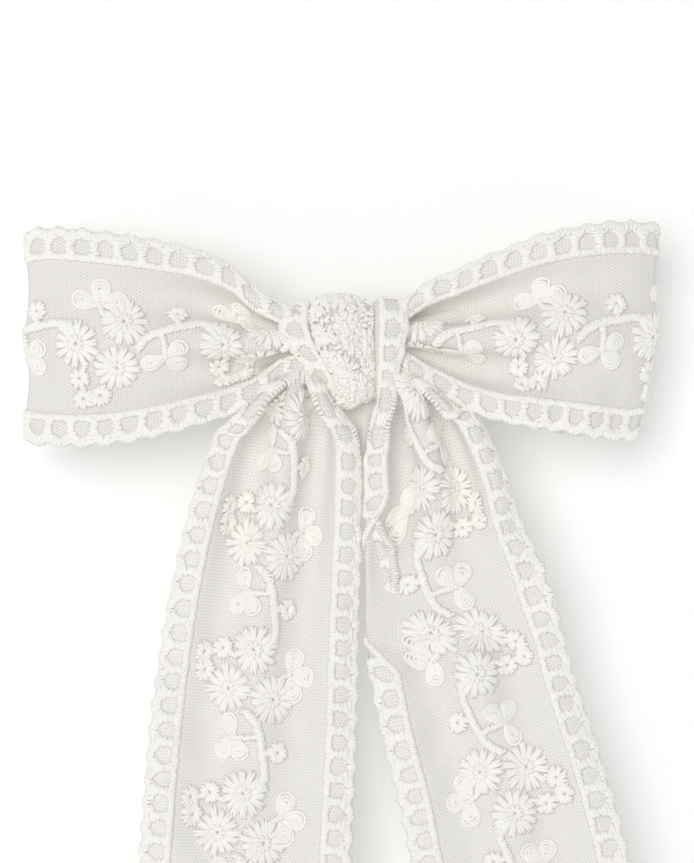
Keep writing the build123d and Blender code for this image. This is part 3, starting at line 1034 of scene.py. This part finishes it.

# %% [markdown]
# ## Clip
#
# The clip's own parts keep their engineered shapes, because metal is exact; they only need their finishes.
# The spring is the exception. One of its legs lies on the front jaw and the other under the lever of the back
# one, and the coil winds up between them as the clip opens. So it is a copy of the engineered spring whose
# loose triangles are joined.


def joined_copy(name, node, finish):
    """A copy of an engineered piece's triangles in which corners at the same place are one point."""
    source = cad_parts[node].data
    places = np.empty(len(source.vertices) * 3, np.float32)
    source.vertices.foreach_get("co", places)
    corners = np.empty(len(source.loops), np.int32)
    source.loops.foreach_get("vertex_index", corners)
    points, same = np.unique(places.reshape(-1, 3).round(7), axis=0, return_inverse=True)
    return new_object(name, points / MM, [same.ravel()[corners].reshape(-1, 3)], finish)


spring = joined_copy("clip-spring", "torsion_spring", wire)
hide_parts("torsion_spring")
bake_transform(spring)
print("spring:", len(spring.data.vertices), "points")

# %% Finishes of the clip
for node, finish in (
    ("backing_pad", felt),
    ("clip_liner", grosgrain),
    ("front_jaw", steel),
    ("back_jaw", steel),
    ("hinge_pin", steel),
    ("grip_strip", rubber),
    ("gathering_thread", thread),
    ("wrap_stitches", thread),
):
    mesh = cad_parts[node].data
    mesh.materials.clear()
    mesh.materials.append(finish.material)

# %% [markdown]
# ## Studio
#
# A white lace bow is lit so that its background is just white and its threads just under it. One large
# soft light from the upper left gives the shallow shadows, and an even white surround fills them. The wall
# stands close behind the bow and is see-through from its back, so the clip can be looked at as well.

# %% Wall, floor and lights
WALL_Y = 0.0095
FLOOR_Z = -0.215


def sheet_of_paper(name, corners, finish):
    """A flat quad of the stage from its four corners, in metres."""
    mesh = bpy.data.meshes.new(name)
    mesh.from_pydata(corners, [], [(0, 1, 2, 3)])
    mesh.materials.append(finish.material)
    paper = bpy.data.objects.new(name, mesh)
    bpy.context.scene.collection.objects.link(paper)
    return paper


white = Finish("backdrop white", (0.97, 0.97, 0.97), 0.9)
white.set("Specular IOR Level", 0.0)
backdrop = Finish("one-sided white", (0.97, 0.97, 0.97), 0.9)
backdrop.set("Specular IOR Level", 0.0)
backdrop.set("Emission Color", (1.0, 1.0, 1.0, 1))
backdrop.set("Emission Strength", 0.1)
see_through = backdrop.node("BsdfTransparent", "BSDF")
behind = backdrop.node("NewGeometry", "Backfacing")
one_sided = backdrop.tree.nodes.new("ShaderNodeMixShader")
feed(backdrop.tree, one_sided.inputs[0], behind)
feed(backdrop.tree, one_sided.inputs[1], Value(backdrop.tree, backdrop.shader.outputs[0]))
feed(backdrop.tree, one_sided.inputs[2], see_through)
surface = backdrop.tree.nodes["Material Output"].inputs[0]
feed(backdrop.tree, surface, Value(backdrop.tree, one_sided.outputs[0]))

WIDE = 1.5
sheet_of_paper(
    "wall",
    [(-WIDE, WALL_Y, FLOOR_Z), (WIDE, WALL_Y, FLOOR_Z), (WIDE, WALL_Y, WIDE), (-WIDE, WALL_Y, WIDE)],
    backdrop,
)
sheet_of_paper(
    "floor",
    [(-WIDE, -WIDE, FLOOR_Z), (WIDE, -WIDE, FLOOR_Z), (WIDE, WIDE, FLOOR_Z), (-WIDE, WIDE, FLOOR_Z)],
    white,
)

SURROUND = 0.4
KEY_WATTS = 49.0
KEY_PLACE = Vector((-0.7, -3.0, 0.5))
KEY_SIZE = 2.2

world = bpy.data.worlds.new("surround")
world.use_nodes = True
world.node_tree.nodes["Background"].inputs["Color"].default_value = (1.0, 0.995, 0.985, 1)
world.node_tree.nodes["Background"].inputs["Strength"].default_value = SURROUND
bpy.context.scene.world = world

key = bpy.data.lights.new("key", "AREA")
key.shape = "DISK"
key.size = KEY_SIZE
key.energy = KEY_WATTS
key.color = (1.0, 0.995, 0.985)
key_stand = bpy.data.objects.new("key", key)
key_stand.location = KEY_PLACE
key_stand.rotation_euler = (-KEY_PLACE).to_track_quat("-Z", "Y").to_euler()
bpy.context.scene.collection.objects.link(key_stand)

fill = bpy.data.lights.new("rear fill", "AREA")
fill.shape = "DISK"
fill.size = 1.5
fill.energy = 30.0
fill_stand = bpy.data.objects.new("rear-fill", fill)
fill_stand.location = (0.6, 2.2, 1.6)
fill_aim = Vector((0, 0.3, FLOOR_Z)) - fill_stand.location
fill_stand.rotation_euler = fill_aim.to_track_quat("-Z", "Y").to_euler()
bpy.context.scene.collection.objects.link(fill_stand)

bpy.context.scene.view_settings.view_transform = "Standard"
bpy.context.scene.view_settings.look = "None"
bpy.context.scene.view_settings.exposure = 0.0

# %% [markdown]
# ## Camera
#
# The bow is seen straight from the front. A long lens from a little over a metre away keeps the loops and
# the tails at one scale.

# %% Camera
DISTANCE = 1.2
SEEN_HEIGHT = 0.1970  # of the frame, at the bow

lens = bpy.data.cameras.new("front")
lens.sensor_fit = "AUTO"
lens.sensor_width = 36.0
lens.lens = 36.0 * (DISTANCE - 0.0135) / SEEN_HEIGHT
lens.clip_end = 20.0
camera = bpy.data.objects.new("front", lens)
camera.location = (0.0005, -DISTANCE, -0.0186)
camera.rotation_euler = (np.pi / 2, 0.0, 0.0)
bpy.context.scene.collection.objects.link(camera)
bpy.context.scene.camera = camera
print(f"lens {lens.lens:.0f} mm from {DISTANCE} m")
